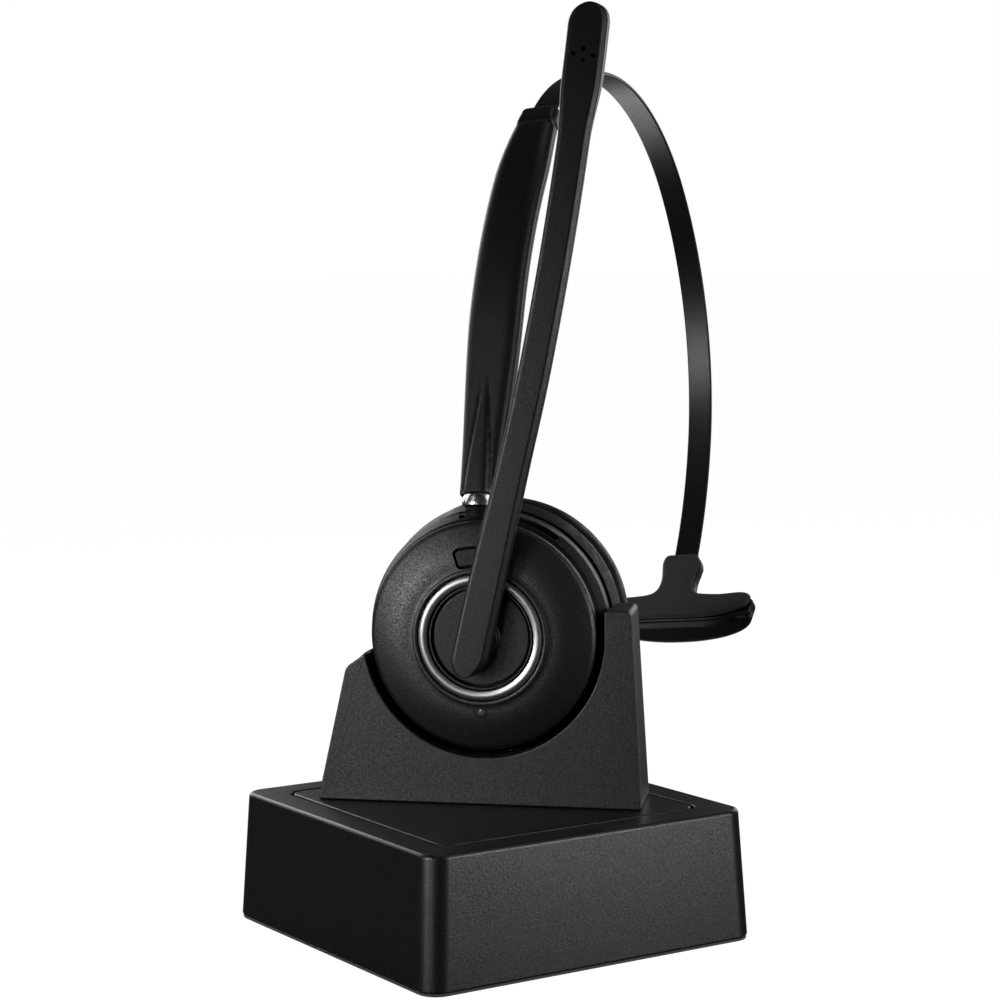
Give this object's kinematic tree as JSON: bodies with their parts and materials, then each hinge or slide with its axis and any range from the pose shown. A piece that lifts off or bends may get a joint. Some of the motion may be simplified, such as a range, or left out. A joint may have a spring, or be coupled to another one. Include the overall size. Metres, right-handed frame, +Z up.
{
  "type": "office headset",
  "caption": "Wireless office headset with one ear cup, swivelling microphone boom and sliding headband, standing in a square charging dock.",
  "frame": {"origin": "centre of the dock's underside, on its anti-slip pad", "axes": "+Z up; the ear cup's outer face looks along -Y, and the headband arches over towards +Y"},
  "size_m": [0.1162, 0.2069, 0.2052],
  "materials": {
    "satin_black": "satin moulded ABS",
    "matte_black": "fine-textured moulded ABS",
    "slate_black": "matte moulded nylon",
    "soft_black": "soft-touch silicone",
    "leatherette": "padded leatherette",
    "speaker_foam": "open-cell foam behind a knitted cover",
    "painted_spring_steel": "black satin powder coat on spring steel",
    "bare_steel": "plain steel",
    "silver_ring": "circular brushed",
    "chrome": "polished",
    "gold_contact": "gold plated",
    "circuit_board": "solder-masked laminate",
    "amber_lens": "clear tinted",
    "battery_pouch": "foil pouch"
  },
  "bodies": {
    "dock": {"base_shell": "satin_black", "top_plate": "satin_black", "bottom_cover": "matte_black", "anti_slip_pad": "soft_black", "ballast_plate": "bare_steel", "base_board": "circuit_board", "usb_inlet": "bare_steel", "base_screw_1": "bare_steel", "base_screw_2": "bare_steel", "base_screw_3": "bare_steel", "base_screw_4": "bare_steel", "cradle_front": "satin_black", "cradle_rear": "satin_black", "charge_block": "matte_black", "charge_pin_left": "gold_contact", "charge_pin_right": "gold_contact", "cradle_screw_left": "bare_steel", "cradle_screw_right": "bare_steel"},
    "ear_cup": {"front_plate": "matte_black", "trim_ring": "silver_ring", "led_window": "amber_lens", "mid_housing": "matte_black", "charge_contact_left": "gold_contact", "charge_contact_right": "gold_contact", "battery": "battery_pouch", "headset_board": "circuit_board", "speaker_driver": "bare_steel", "baffle": "matte_black", "speaker_foam": "speaker_foam", "ear_cushion": "leatherette"},
    "button": {"call_button": "satin_black"},
    "boom": {"hub_disc": "slate_black", "hub_axle": "bare_steel", "axle_clip": "bare_steel", "boom_outer": "slate_black", "boom_inner": "slate_black", "mic_front": "gold_contact", "mic_rear": "gold_contact"},
    "pivot": {"carriage": "matte_black"},
    "arm": {"ferrule": "chrome", "arm_outer": "satin_black", "arm_inner": "satin_black", "arm_cap": "satin_black"},
    "band": {"band_strip": "painted_spring_steel", "t_pad_core": "soft_black", "t_pad_cushion": "soft_black"}
  },
  "joints": [
    {"name": "headset_lift", "type": "slide", "parent": "dock", "child": "ear_cup", "axis": [0, 0, 1], "range_m": [0, 0.06]},
    {"name": "call_button_press", "type": "slide", "parent": "ear_cup", "child": "button", "axis": [0, 1, 0], "range_m": [0, 0.0006], "stiffness_N_per_m": 400, "springref_m": -0.001},
    {"name": "boom_hinge", "type": "hinge", "parent": "ear_cup", "child": "boom", "pos_m": [0, 0, 0.0672], "axis": [0, 1, 0], "range_deg": [-122, 97]},
    {"name": "headband_pivot", "type": "hinge", "parent": "ear_cup", "child": "pivot", "pos_m": [0, 0.004, 0.0672], "axis": [0, 1, 0], "range_deg": [0, 34]},
    {"name": "arm_swivel", "type": "hinge", "parent": "pivot", "child": "arm", "pos_m": [-0.00251, 0.00332, 0.09408], "axis": [0.0098, 0.3901, 0.9207], "range_deg": [-17, 43]},
    {"name": "band_slide", "type": "hinge", "parent": "arm", "child": "band", "pos_m": [0.03083, 0.14242, 0.0815], "axis": [-0.9707, 0.225, -0.0849], "range_deg": [0, 10]}
  ]
}
